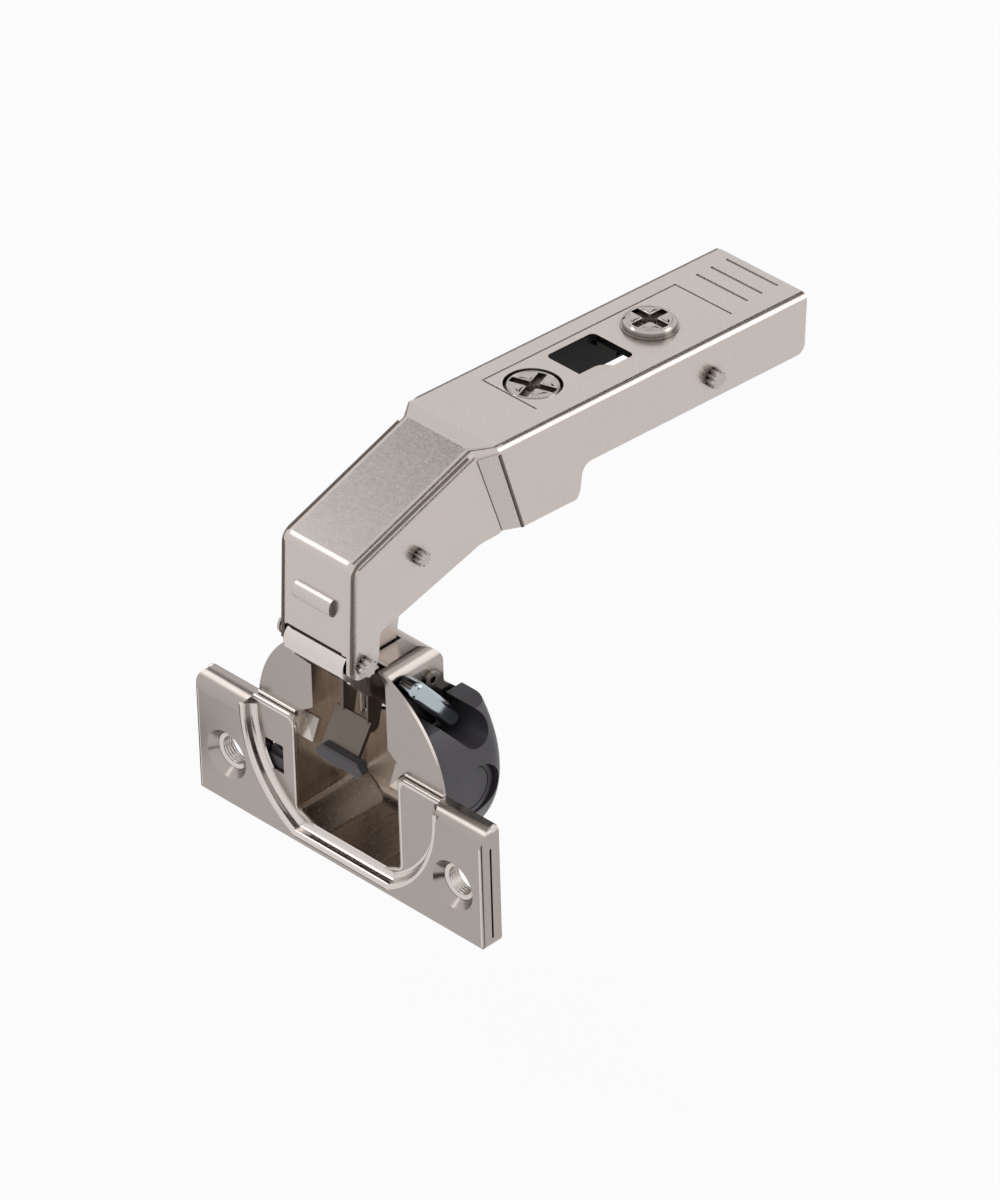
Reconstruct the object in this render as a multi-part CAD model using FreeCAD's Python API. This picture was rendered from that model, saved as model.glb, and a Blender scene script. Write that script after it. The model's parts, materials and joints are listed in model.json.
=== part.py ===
import FreeCAD, Part
import math
import os

# Cranked concealed hinge for a blind corner door, shown open.
# Origin: centre of the cup on the door face. X runs along the flange, parallel to the pivots,
# +Y goes into the door and +Z points from the cup to the edge of the door. Millimetres.

os.makedirs("parts", exist_ok=True)
V = FreeCAD.Vector

# Cup and flange
bore_r = 17.5
disc_r = 18.4
disc_t = 0.6
back_relief = 0.1
recess_r = 19.3
recess_foot_r = 18.5
recess_low = -17.1
wing_t = 3.5
centre_t = 1.7
flange_half = 28.4
flange_low = -18.0
flange_high = 1.9
flange_top_round = 2.5
flange_corner_r = 0.9
flange_edge_r = 0.45
screw_spacing = 45.0
screw_z = -9.5
screw_hole_r = 2.3
screw_ring_r = 2.9
screw_sink_r = 3.9
screw_sink_t = 1.3
screw_ring_t = 0.5
end_groove = 0.35

# Drawn pocket of the cup
sheet_t = 0.7
pocket_half = 10.3
pocket_low = -16.0
pocket_shoulder = 2.6
pocket_shoulder_rise = 2.0
pocket_chamfer_half = 5.0
pocket_chamfer_rise = 2.2
slot_half = 7.4
slot_high = 16.7
pocket_depth = 11.7
slot_depth = 9.3
slot_depth_z = 11.2
notch_depth = 1.6
side_tab_x = 7.6
side_tab_foot = (-0.7, -1.4)
side_tab_brow = (0.7, 1.9)

# Link pivots, as places (Y, Z) in the plane across the flange
front_pivot = (-4.4, 21.0)
middle_pivot = (6.8, 33.6)
outer_pivot = (7.1, 8.8)
inner_pivot = (3.46, 12.93)

# Pins
axle_r = 1.3
front_pin_r = 1.2
front_head_r = 1.65
front_head_t = 0.5
middle_pin_r = 1.0
rear_pin_r = 1.25
pin_proud = 1.5
pin_stub = 0.5
running_gap = 0.05
fit_gap = 0.02
side_gap = 0.3

# Axle bar outside the pocket
bar_half_t = 1.5
bar_x = 8.75
bar_start = (2.0, 15.0)
bar_end = (8.3, 7.4)
spring_pin = (7.35, 13.0)
spring_pin_r = 0.9
spring_leaf_t = 0.4
spring_leaf_half = 1.4
spring_tip_gap = 0.6

# Housings behind the disc
housing_depth = 13.0
housing_r = 17.2
housing_back_round = 2.6
housing_inner_x = 8.55
housing_top = 9.6
housing_low = -12.5
damper_axis = (7.2, -2.0)
damper_r = 4.6
boss_end = 15.9
cap_r = 4.3
cap_t = 0.8
window_gap = 1.1

# Switch
switch_x = -14.5
switch_half = 1.8
switch_low = -9.0
switch_high = -4.2
switch_length = 2.9
switch_depth = 0.5
switch_t = 2.4

# Lever in the pocket
lever_half = 3.85
lever_t = 0.7
lever_foot = (-2.2, -0.3)
lever_brow = (1.5, 5.6)
lever_brow_r = 1.1
lever_eye_r = 1.9
slider_half = 4.75
slider_low = -1.0
slider_high = 1.4
slider_front = -3.0
slider_back = -1.3

# Links
link_t = 0.65
outer_half = 5.8
inner_half = 2.5
barrel_r = 2.5
barrel_shift = (-0.2, -0.7)
outer_eye_r = 2.3
inner_eye_r = 2.2
slot_inner_r = 17.07
slot_outer_r = 20.94
slot_play = 0.7
slot_wall = 0.85
slot_end_gap = 0.15

# Arm
arm_t = 1.1
mid_half = 7.2
mid_bend_r = 1.6
nose_bend_r = 2.5
rear_half = 8.95
rear_bend_r = 1.05
arm_slope = -4.24
nose_low = (-6.9, 17.0)
nose_top = (-5.7, 37.4)
mid_end_top = (18.1, 44.95)
mid_end_depth = 16.2
rear_start_top = (21.0, 45.0)
rear_start_low = (25.4, 29.75)
web_low_z = 22.9
leg_back_top = (-0.9, 24.7)
leg_back_y = -1.6
leg_low_z = 18.75
leg_round = 2.4
mid_low_front = (2.15, 25.4)
mid_low_back = (18.8, 29.4)
wall_low_back = (23.8, 29.2)
rear_length = 62.0
rear_reach = 70.0
rear_wall_front = 15.6
rear_wall_back = 9.6
step_s = 17.2
step_round = 1.8
end_round = 1.5
rear_pin_s = 42.9
rear_pin_h = -5.9
emboss_half = 3.6
emboss_low = 28.4
emboss_high = 31.0
emboss_proud = 0.95
emboss_round = 1.25

# Adjusting screws, window and grooves on the arm, as distances along its rear part
side_screw_s = 15.9
side_hole_r = 4.25
side_head_r = 4.1
side_head_t = 0.8
side_head_sink = 0.15
side_shank_r = 2.4
side_shank_length = 9.4
insert_r = 4.0
insert_t = 3.2
depth_screw_s = 39.2
depth_head_r = 3.85
depth_head_t = 1.0
depth_flange_r = 4.15
depth_neck_r = 2.6
depth_cam_r = 3.6
depth_cam_t = 1.6
cross_length = 3.5
cross_width = 1.3
cross_depth = 0.6
window_start = 22.5
window_end = 32.0
window_half = 4.1
window_r = 0.9
tab_x = 0.9
tab_s = 29.5
groove_start = 11.3
groove_end = 49.9
groove_half = 5.6
groove_width = 0.3
groove_depth = 0.18
rib_places = (54.1, 57.1, 60.3)
rib_half = 5.0
rib_width = 0.45

# Carriage inside the arm
carriage_t = 1.3
carriage_half = 7.3
carriage_start = 9.0
carriage_end = 60.6
carriage_wall = 5.2
carriage_gap = 0.35
depth_travel = 2.0
slot_clear = 0.6
hook_s = 12.5
hook_length = 5.0
hook_drop = 8.2
hook_r = 1.5
latch_pin_s = 53.5
latch_pin_h = -7.0
latch_pin_r = 1.2
latch_half = 5.6
latch_t = 1.2
latch_tail = 5.2
latch_rise = 1.8
latch_claw = 3.4
latch_drop = 5.6
ear_r = 2.6


def save(shape, node):
    """Write one sub-part as a STEP file."""
    shape.exportStep("parts/" + node + ".step")


def yz(point, x=0.0):
    """A point of the side view, at distance x along the flange."""
    return V(x, point[0], point[1])


def rod_x(centre, r, x0, x1):
    """A round bar along X between x0 and x1."""
    return Part.makeCylinder(r, x1 - x0, yz(centre, x0), V(1, 0, 0))


def rod_y(x, z, r, y0, y1):
    """A round bar along Y between y0 and y1."""
    return Part.makeCylinder(r, y1 - y0, V(x, y0, z), V(0, 1, 0))


def block(x0, x1, y0, y1, z0, z1):
    """A box between two corners."""
    return Part.makeBox(x1 - x0, y1 - y0, z1 - z0, V(x0, y0, z0))


def rounded_wire(corners, radii):
    """A closed wire through the corners, each turned with its own radius."""
    count = len(corners)
    pieces = []
    starts = []
    ends = []
    middles = []
    for i in range(count):
        here = corners[i]
        back = (corners[i - 1] - here).normalize()
        ahead = (corners[(i + 1) % count] - here).normalize()
        r = radii[i]
        half = back.getAngle(ahead) / 2.0
        reach = r / math.tan(half) if r > 0 else 0.0
        starts.append(here + back * reach)
        ends.append(here + ahead * reach)
        bisector = back + ahead
        if r > 0 and bisector.Length > 1e-6:
            bisector.normalize()
            middles.append(here + bisector * (r / math.sin(half) - r))
        else:
            middles.append(None)
    for i in range(count):
        if middles[i] is not None:
            pieces.append(Part.Arc(starts[i], middles[i], ends[i]).toShape())
        following = starts[(i + 1) % count]
        if (following - ends[i]).Length > 1e-6:
            pieces.append(Part.LineSegment(ends[i], following).toShape())
    return Part.Wire(pieces)


def side_prism(points, radii, x0, x1):
    """Extrude an outline of the side view (Y, Z) along X."""
    if not isinstance(radii, (list, tuple)):
        radii = [radii] * len(points)
    wire = rounded_wire([yz(p, x0) for p in points], radii)
    return Part.Face(wire).extrude(V(x1 - x0, 0, 0))


def front_prism(points, radii, y0, y1):
    """Extrude an outline of the front view (X, Z) along Y."""
    if not isinstance(radii, (list, tuple)):
        radii = [radii] * len(points)
    wire = rounded_wire([V(p[0], y0, p[1]) for p in points], radii)
    return Part.Face(wire).extrude(V(0, y1 - y0, 0))


def polar(centre, r, degrees):
    """A side-view point at radius r and an angle about a centre."""
    a = math.radians(degrees)
    return (centre[0] + r * math.cos(a), centre[1] + r * math.sin(a))


def angle_to(centre, point):
    """The side-view angle of a point about a centre, in degrees."""
    return math.degrees(math.atan2(point[1] - centre[1], point[0] - centre[0]))


def distance(p, q):
    """Distance between two side-view points."""
    return math.hypot(p[0] - q[0], p[1] - q[1])


def strap(p, q, r_p, r_q, x0, x1):
    """A flat bar whose ends are round about p and q."""
    a = math.radians(angle_to(p, q))
    lean = math.acos((r_p - r_q) / distance(p, q))
    points = []
    for side in (1, -1):
        d = (math.cos(a + side * lean), math.sin(a + side * lean))
        points.append((p[0] + r_p * d[0], p[1] + r_p * d[1]))
        points.append((q[0] + r_q * d[0], q[1] + r_q * d[1]))
    outline = [points[0], points[1], points[3], points[2]]
    body = side_prism(outline, 0, x0, x1)
    return body.fuse([rod_x(p, r_p, x0, x1), rod_x(q, r_q, x0, x1)]).removeSplitter()


def slab(low, high, t, x0, x1):
    """A flat sheet whose front runs from low to high in the side view, with its back behind."""
    a = math.radians(angle_to(low, high) - 90.0)
    back = (t * math.cos(a), t * math.sin(a))
    return side_prism([low, high, (high[0] + back[0], high[1] + back[1]),
                       (low[0] + back[0], low[1] + back[1])], 0, x0, x1)


def both_sides(maker, near, far):
    """The same plate on the two sides of the middle plane."""
    return maker(near, far).fuse(maker(-far, -near))


def along_arm(shape):
    """Move a shape from the arm's own frame (X, along, up) to its place."""
    moved = shape.copy()
    moved.rotate(V(0, 0, 0), V(1, 0, 0), arm_slope)
    moved.translate(yz(rear_start_top))
    return moved


def arm_point(s, h):
    """Side-view place of a point at distance s along the rear part and height h."""
    a = math.radians(arm_slope)
    y = rear_start_top[0] + s * math.cos(a) - h * math.sin(a)
    z = rear_start_top[1] + s * math.sin(a) + h * math.cos(a)
    return (y, z)


def edges_where(shape, test):
    """Edges whose middle point passes the test."""
    found = []
    for edge in shape.Edges:
        middle = edge.valueAt((edge.FirstParameter + edge.LastParameter) / 2.0)
        if test(middle, edge):
            found.append(edge)
    return found


def pocket_outline(grow):
    """Front outline of the pocket, from its wide foot to its narrow slot."""
    wide = pocket_half + grow
    slim = slot_half + grow
    low = pocket_low - grow
    foot = pocket_chamfer_half + grow * 0.5
    rise = low + pocket_chamfer_rise
    shoulder = pocket_shoulder + grow * 0.5
    top = slot_high + grow
    right = [(foot, low), (wide, rise), (wide, shoulder), (slim, shoulder + pocket_shoulder_rise),
             (slim, top)]
    left = [(-x, z) for x, z in reversed(right)]
    radii = [1.0 + grow, 1.2 + grow, 1.6 + grow, 0.8, 1.6 + grow]
    return right + left, radii + list(reversed(radii))


def pocket_side(grow, y0):
    """Side outline that makes the pocket shallower behind its slot."""
    low = pocket_low - grow
    deep = pocket_depth + grow
    shallow = slot_depth + grow
    top = slot_high + grow
    points = [(y0, low), (deep, low), (deep, outer_pivot[1] + 0.2), (shallow, slot_depth_z),
              (shallow, top), (y0, top)]
    radii = [0, 2.2 + grow, 1.0, 1.0, 2.0 + grow, 0]
    return points, radii


def pocket_solid(grow, y0, y1):
    """The hollow of the pocket (grow 0) or its outside (grow one sheet)."""
    outline, radii = pocket_outline(grow)
    front = front_prism(outline, radii, y0, y1)
    points, rounds = pocket_side(grow, y0 - 1.0)
    wide = pocket_half + grow + 1.0
    return front.common(side_prism(points, rounds, -wide, wide))


def flange_bar():
    """The flange before its recess: its front, side and top views, intersected."""
    half = flange_half
    low = flange_low
    high = flange_high
    front = front_prism([(-half, low), (half, low), (half, high), (-half, high)],
                        [flange_corner_r] * 4, -wing_t, 0)
    side = side_prism([(-wing_t, low), (0, low), (0, high), (-wing_t, high)],
                      [flange_edge_r, 0, 0, flange_top_round], -half, half)
    corners = [V(-half, -wing_t, low), V(half, -wing_t, low), V(half, 0, low), V(-half, 0, low)]
    plan = Part.Face(rounded_wire(corners, [flange_edge_r, flange_edge_r, 0, 0]))
    return front.common([side]).common(plan.extrude(V(0, 0, high - low)))


def flange_body():
    """Two thick wings and, between them, a round recess with a thin rim below it."""
    body = flange_bar()
    groove_x = flange_half - end_groove
    groove = block(groove_x, flange_half + 1.0, -wing_t * 0.55, -wing_t * 0.45,
                   flange_low + 1.5, flange_high - flange_top_round - 0.6)
    recess = Part.makeCone(recess_r, recess_foot_r, wing_t - centre_t, V(0, -wing_t, 0), V(0, 1, 0))
    recess = recess.common(block(-recess_r, recess_r, -wing_t, 0, recess_low, recess_r))
    relief = rod_y(0, 0, disc_r, -back_relief, 1.0)
    return body.cut([groove, recess, relief])


def screw_cuts():
    """Stepped and countersunk holes for the two fixing screws."""
    cuts = []
    for side in (-1, 1):
        x = side * screw_spacing / 2.0
        cuts.append(rod_y(x, screw_z, screw_hole_r, -wing_t - 1.0, 1.0))
        ring_y = -wing_t + screw_sink_t
        cuts.append(rod_y(x, screw_z, screw_ring_r, -wing_t, ring_y + screw_ring_t))
        cuts.append(Part.makeCone(screw_sink_r, screw_ring_r, screw_sink_t,
                                  V(x, -wing_t, screw_z), V(0, 1, 0)))
    return cuts


def cup_plate():
    """Flange, disc and drawn pocket, pressed as one piece."""
    disc = rod_y(0, 0, disc_r, -disc_t, -back_relief)
    disc = disc.common(block(-disc_r, disc_r, -disc_t, 0, flange_low, disc_r))
    body = flange_body().fuse(disc)
    body = body.fuse(pocket_solid(sheet_t, -disc_t / 2.0, pocket_depth + sheet_t))
    hollow = pocket_solid(0, -wing_t - 1.0, pocket_depth)
    body = body.cut(hollow)
    body = body.cut(screw_cuts())
    shaft_cuts = []
    for place, r in ((outer_pivot, axle_r), (inner_pivot, axle_r), (spring_pin, spring_pin_r)):
        shaft_cuts.append(rod_x(place, r + fit_gap, -slot_half - 2.0, slot_half + 2.0))
    body = body.cut(shaft_cuts)
    notch_half = outer_half + side_gap
    notch = block(-notch_half, notch_half, -centre_t, notch_depth, slot_high - 1.0, disc_r + 1.0)
    slot_back = inner_pivot[0] + (middle_pivot[0] - inner_pivot[0]) * 0.25 + inner_eye_r + 0.7

    def link_slot(x0, x1):
        return block(x0, x1, -centre_t, slot_back, slot_high - 1.0, disc_r + 1.0)

    def side_tab(x0, x1):
        return slab(side_tab_foot, side_tab_brow, sheet_t, x0, x1)

    slot = both_sides(link_slot, inner_half - link_t - side_gap, inner_half + side_gap)
    slot = slot.fuse(notch)
    gate = block(switch_x - switch_half, switch_x + switch_half, -centre_t - 1.0, 1.0,
                 switch_low, switch_high)
    body = body.cut([slot, gate])
    body = body.fuse(both_sides(side_tab, side_tab_x, pocket_half + sheet_t * 0.5))
    return body.removeSplitter()


def axle_bar():
    """Bent axle: two round legs through the pocket, joined by a flattened bar outside."""
    x1 = bar_x + 2.0 * bar_half_t
    bar = strap(bar_start, bar_end, bar_half_t, bar_half_t, bar_x, x1)
    rims = edges_where(bar, lambda m, e: abs(m.x - x1) < 0.01)
    bar = bar.makeFillet(bar_half_t * 0.6, rims)
    legs = [rod_x(p, axle_r, -slot_half - sheet_t - 0.4, bar_x + 0.6)
            for p in (outer_pivot, inner_pivot)]
    return bar.fuse(legs).removeSplitter()


def spring_post():
    """Pin with a hollow end that holds the closing spring."""
    x1 = slot_half + sheet_t + 0.6
    post = rod_x(spring_pin, spring_pin_r, -slot_half - sheet_t, x1)
    rim = rod_x(spring_pin, spring_pin_r + 0.45, slot_half + sheet_t + fit_gap, x1)
    return post.fuse(rim).cut(rod_x(spring_pin, spring_pin_r * 0.6, x1 - 0.9, x1 + 1.0))


def closing_spring():
    """Leaf spring: an eye round its pin and a tail that presses the lever forwards."""
    inner = spring_pin_r + fit_gap
    outer = inner + spring_leaf_t
    eye = rod_x(spring_pin, outer, -spring_leaf_half, spring_leaf_half)
    start = polar(spring_pin, (inner + outer) / 2.0, 180)
    knee = ((inner_pivot[0] + outer_pivot[0]) / 2.0 - 0.6, (inner_pivot[1] + outer_pivot[1]) / 2.0 - 0.7)
    tip = (lever_brow[0] + lever_t + 2.0 * spring_tip_gap + 0.3, lever_brow[1] - 0.6)
    h = spring_leaf_t / 2.0
    tail = side_prism([(start[0] - h, start[1]), (knee[0] - h, knee[1] + h), (tip[0], tip[1] + h),
                       (tip[0], tip[1] - h), (knee[0] + h, knee[1] - h),
                       (start[0] + h, start[1])], 0, -spring_leaf_half, spring_leaf_half)
    body = eye.fuse(tail)
    return body.cut(rod_x(spring_pin, inner, -lever_half, lever_half)).removeSplitter()


def housing_blank(side):
    """Rounded block behind one half of the disc, beside the pocket."""
    blank = rod_y(0, 0, housing_r, fit_gap, housing_depth)
    rims = edges_where(blank, lambda m, e: m.y > housing_depth - 0.01)
    blank = blank.makeFillet(housing_back_round, rims)
    low = front_prism([(housing_inner_x, housing_low), (bore_r, housing_low), (bore_r, housing_top),
                       (housing_inner_x, housing_top)], 0, -1.0, housing_depth + 1.0)
    if side < 0:
        low = low.mirror(V(0, 0, 0), V(1, 0, 0))
    blank = blank.common(low)
    return blank.cut(pocket_solid(sheet_t + side_gap, -1.0, housing_depth + 2.0))


def damper_housing():
    """Moulded damper housing with its window round the axle and a seat for the cap."""
    body = housing_blank(1)
    r = bar_half_t + window_gap
    window = strap(bar_start, bar_end, r, r, housing_inner_x - 1.0, housing_r + 2.0)
    body = body.cut(window)
    post = rod_x(spring_pin, spring_pin_r + 1.0, housing_inner_x - 1.0, housing_inner_x + 1.5)
    body = body.cut(post)
    boss = rod_x(damper_axis, damper_r, pocket_half + sheet_t + side_gap, boss_end)
    body = body.fuse(boss)
    seat = rod_x(damper_axis, cap_r + fit_gap, boss_end - cap_t, housing_r + 2.0)
    return body.cut(seat).removeSplitter()


def damper_cap():
    """Round cap that closes the damper."""
    cap = rod_x(damper_axis, cap_r, boss_end - cap_t, boss_end)
    rims = edges_where(cap, lambda m, e: m.x > boss_end - 0.01)
    return cap.makeChamfer(0.3, rims)


def switch_housing():
    """Moulded housing on the other side, which guides the damper's off switch."""
    body = housing_blank(-1)
    gap = side_gap * 0.5
    way = block(switch_x - switch_half, switch_x + switch_half, -1.0, switch_t + gap,
                switch_low - gap, switch_high + gap)
    return body.cut(way).removeSplitter()


def switch_slider():
    """Off switch, which slides in its slot: a block with a finger step."""
    gap = 0.12
    y0 = -centre_t + switch_depth
    x0 = switch_x - switch_half + gap
    x1 = switch_x + switch_half - gap
    body = block(x0, x1, y0, switch_t, switch_low + gap, switch_low + switch_length)
    step = block(x0 - 1.0, x1 + 1.0, y0 - 1.0, y0 + 0.6, switch_low + switch_length - 0.9,
                 switch_low + switch_length + 1.0)
    return body.cut(step)


def lever_plate():
    """Sloping face of the lever."""
    return slab(lever_foot, lever_brow, lever_t, -slider_half, slider_half)


def cam_lever():
    """Bent sheet lever in the pocket: a sloping face and two cheeks with eyes."""
    face = lever_plate()

    def cheek(x0, x1):
        brow = (lever_brow[0] + lever_brow_r * 0.75, lever_brow[1] - lever_brow_r)
        return strap(brow, inner_pivot, lever_brow_r, lever_eye_r, x0, x1)

    body = face.fuse(both_sides(cheek, lever_half - lever_t, lever_half))
    body = body.cut(rod_x(inner_pivot, axle_r + running_gap, -lever_half - 1, lever_half + 1))
    return body.removeSplitter()


def cam_slider():
    """Plastic bar clipped round the foot of the lever."""
    middle = (slider_low + slider_high) / 2.0
    body = side_prism([(slider_front, slider_low), (slider_back, slider_low),
                       (slider_back, slider_high), (slider_front, slider_high)], 0.35,
                      -slider_half, slider_half)
    outline = front_prism([(-slider_half, middle), (-slider_half + 1.2, slider_low),
                           (slider_half - 1.2, slider_low), (slider_half, middle),
                           (slider_half - 1.2, slider_high), (-slider_half + 1.2, slider_high)],
                          0.3, slider_front, slider_back)
    return body.common(outline).cut(lever_plate()).removeSplitter()


def outer_link():
    """Sheet link: two curved cheeks that clear the inner axle, and a barrel round the pin."""
    reach = distance(outer_pivot, front_pivot)
    start = angle_to(outer_pivot, front_pivot)
    barrel = (front_pivot[0] + barrel_shift[0], front_pivot[1] + barrel_shift[1])
    outline = [polar(outer_pivot, outer_eye_r, start + 95.0),
               polar(outer_pivot, outer_eye_r + 1.4, start + 58.0),
               polar(outer_pivot, 6.4, start + 30.0),
               polar(outer_pivot, 9.4, start + 18.6),
               polar(outer_pivot, 11.3, start + 17.6),
               polar(outer_pivot, reach - 1.2, start + 12.0),
               polar(outer_pivot, reach + 1.0, start + 3.0),
               polar(outer_pivot, reach + 1.0, start - 3.4),
               polar(outer_pivot, reach - 3.0, start - 6.5),
               polar(outer_pivot, 8.0, start + 2.0),
               polar(outer_pivot, 7.2, start + 8.0),
               polar(outer_pivot, 6.0, start + 15.5),
               polar(outer_pivot, 4.6, start + 20.0),
               polar(outer_pivot, outer_eye_r, start + 10.0)]

    def cheek(x0, x1):
        plate = side_prism(outline, 0.2, x0, x1)
        eye = rod_x(outer_pivot, outer_eye_r, x0, x1)
        return plate.fuse([eye, rod_x(barrel, barrel_r, x0, x1)])

    body = both_sides(cheek, outer_half - link_t, outer_half)
    body = body.fuse(rod_x(barrel, barrel_r, -outer_half + 0.1, outer_half - 0.1))
    body = body.cut([rod_x(front_pivot, front_pin_r + running_gap, -9, 9),
                     rod_x(outer_pivot, axle_r + running_gap, -9, 9)])
    return body.removeSplitter()


def inner_link():
    """Sheet link between the cheeks of the first one, with long eyes that let the middle pin slide."""
    aim = angle_to(inner_pivot, middle_pivot)
    near = polar(inner_pivot, slot_inner_r - slot_end_gap, aim)
    far = polar(inner_pivot, slot_outer_r + slot_end_gap, aim)
    slot_r = middle_pin_r + slot_play
    end_r = slot_r + slot_wall

    def cheek(x0, x1):
        far_end = polar(inner_pivot, slot_outer_r + slot_end_gap - slot_play, aim)
        bar = strap(inner_pivot, near, inner_eye_r, end_r, x0, x1)
        return bar.fuse(strap(near, far_end, end_r, end_r, x0, x1))

    body = both_sides(cheek, inner_half - link_t, inner_half)
    tie_r = 1.1
    tie_place = polar(inner_pivot, slot_inner_r - slot_r - tie_r - 1.4, aim)
    body = body.fuse(rod_x(tie_place, tie_r, -inner_half + 0.1, inner_half - 0.1))
    slot = strap(near, polar(inner_pivot, slot_outer_r + slot_end_gap - slot_play, aim),
                 slot_r, slot_r, -9, 9)
    axle = rod_x(inner_pivot, axle_r + running_gap, -9, 9)
    return body.cut([slot, axle]).removeSplitter()


def section_wire(half, r, low, top):
    """Closed wire of one slanted section through the arm, round at its two top corners."""
    corners = [yz(low, -half), yz(top, -half), yz(top, half), yz(low, half)]
    return rounded_wire(corners, [0, r, r, 0])


def arm_blank(inset):
    """Outside of the arm (inset 0), or its hollow (inset one sheet)."""
    half = mid_half - inset
    wide = rear_half - inset
    bend = mid_bend_r - inset * 0.6
    rear_bend = max(rear_bend_r - inset * 0.6, 0.35)
    drop = 16.0 if inset else 0.0

    def lowered(p, q, by):
        """A point moved from p towards q, by a distance."""
        d = distance(p, q)
        return (p[0] + (q[0] - p[0]) * by / d, p[1] + (q[1] - p[1]) * by / d)

    slope = math.radians(angle_to(nose_top, mid_end_top))
    mid_end_low = (mid_end_top[0] + mid_end_depth * math.sin(slope),
                   mid_end_top[1] - mid_end_depth * math.cos(slope))
    nose_x = nose_low[0] - inset * 0.1 + inset
    top_f = (nose_top[0] + inset, nose_top[1] - inset / math.cos(slope) + inset * math.tan(slope))
    mid_top = lowered(mid_end_top, mid_end_low, inset)
    mid_low = lowered(mid_end_low, mid_end_top, -drop)
    rear_top = lowered(rear_start_top, rear_start_low, inset * 1.02)
    rear_low = lowered(rear_start_low, rear_start_top, -drop)
    outline = [(nose_x, nose_low[1] - drop), top_f, mid_top, mid_low]
    outline.append((nose_x + 1.0, nose_low[1] - drop - 0.5))
    front = side_prism(outline, 0, -half, half)
    long_edges = edges_where(front, lambda m, e: abs(abs(m.x) - half) < 0.01
                             and abs(e.tangentAt(e.FirstParameter).x) < 0.01
                             and (abs(m.y - (top_f[0] + mid_top[0]) / 2.0) < 0.5
                                  or abs(m.y - (nose_x + top_f[0]) / 2.0) < 0.3))
    long_edges = [e for e in long_edges if e.Length > 10.0 and e.BoundBox.ZMax > mid_low[1]]
    nose = edges_where(front, lambda m, e: abs(m.x) < 0.01
                       and distance((m.y, m.z), top_f) < 0.1)
    front = front.makeFillet(bend, long_edges + nose)
    start_wire = section_wire(half, bend, mid_low, mid_top)
    end_wire = section_wire(wide, rear_bend, rear_low, rear_top)
    joggle = Part.makeLoft([start_wire, end_wire], True, True)
    rear = Part.Face(end_wire).extrude(yz(arm_point(rear_reach, 0)) - yz(arm_point(0, 0)))
    return front.fuse([joggle, rear]).removeSplitter()


def arm_side_outline():
    """Side outline of the arm's walls: a prism that trims them below."""
    over = 12.0
    points = [(nose_low[0] - 3.0, nose_top[1] + over), arm_point(rear_length, over),
              arm_point(rear_length, -rear_wall_back),
              arm_point(step_s, -rear_wall_back),
              arm_point(step_s - 0.6, -rear_wall_front + 0.4),
              wall_low_back,
              mid_low_back, mid_low_front, leg_back_top,
              (leg_back_y, leg_low_z), (nose_low[0], leg_low_z),
              (nose_low[0], leg_low_z + leg_round + 0.4), (nose_low[0] - 3.0, nose_low[1] + 8.0)]
    radii = [0, 0, end_round, step_round, step_round, 1.2, 3.0, 0, 0.8, leg_round, leg_round, 0, 0]
    return side_prism(points, radii, -12.0, 12.0)


def arm_top_cuts():
    """Holes, window, grooves and ribs in the arm's rear top, in its own frame."""
    cuts = [Part.makeCylinder(side_hole_r, 6.0, V(0, side_screw_s, -3.0)),
            Part.makeCylinder(depth_neck_r + running_gap, 6.0, V(0, depth_screw_s, -3.0))]
    corners = [V(-window_half, window_start, -3), V(window_half, window_start, -3),
               V(window_half, window_end, -3), V(-window_half, window_end, -3)]
    cuts.append(Part.Face(rounded_wire(corners, [window_r] * 4)).extrude(V(0, 0, 6.0)))
    d = groove_depth
    w = groove_width
    a, b, g = groove_start, groove_end, groove_half
    cuts.append(Part.makeBox(w, b - a, 2.0, V(-g, a, -d)))
    cuts.append(Part.makeBox(2.0 * g, w, 2.0, V(-g, b, -d)))
    cuts.append(Part.makeBox(2.0 * g - 0.6, w, 2.0, V(-g, a, -d)))
    for s in rib_places:
        cuts.append(Part.makeBox(2.0 * rib_half, rib_width, 2.0, V(-rib_half - 0.4, s, -d)))
    return [along_arm(c) for c in cuts]


def arm_shell():
    """Cranked arm: one folded sheet, narrow in front, wider and lower behind."""
    body = arm_blank(0.0).cut(arm_blank(arm_t))
    body = body.common(arm_side_outline())
    web = block(-mid_half + arm_t, mid_half - arm_t, nose_low[0] - 2.0, nose_low[0] + 3.0,
                nose_low[1] - 2.0, web_low_z)
    body = body.cut(web)
    back = math.radians(angle_to(nose_low, nose_top) - 90.0)
    bar_face = nose_low[0] + (emboss_low - nose_low[1]) * -math.tan(back)
    bar = side_prism([(bar_face + 0.6, emboss_low - 0.2), (bar_face - emboss_proud, emboss_low),
                      (bar_face - emboss_proud + 0.2, emboss_high),
                      (bar_face + 0.8, emboss_high + 0.2)], [0, emboss_round, emboss_round, 0],
                     -emboss_half, emboss_half)
    body = body.fuse(bar)
    rear_pin = arm_point(rear_pin_s, rear_pin_h)
    holes = [rod_x(front_pivot, front_pin_r + fit_gap, -9, 9),
             rod_x(middle_pivot, middle_pin_r + fit_gap, -9, 9),
             rod_x(rear_pin, rear_pin_r + fit_gap, -12, 12)]
    body = body.cut(holes + arm_top_cuts())
    return body.removeSplitter()


def headed_pin(place, r, head_r, head_t, half):
    """Pin through two walls with a stacked head and one proud end."""
    pin = rod_x(place, r, -half - fit_gap, half + pin_proud)
    head = rod_x(place, head_r, -half - fit_gap - head_t, -half - fit_gap)
    second = rod_x(place, r * 0.85, -half - head_t * 2.0, -half - head_t)
    return pin.fuse([head, second]).removeSplitter()


def plain_pin(place, r, half):
    """Pin through two walls, short on one side and proud on the other."""
    return rod_x(place, r, -half - pin_stub, half + pin_proud)


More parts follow.
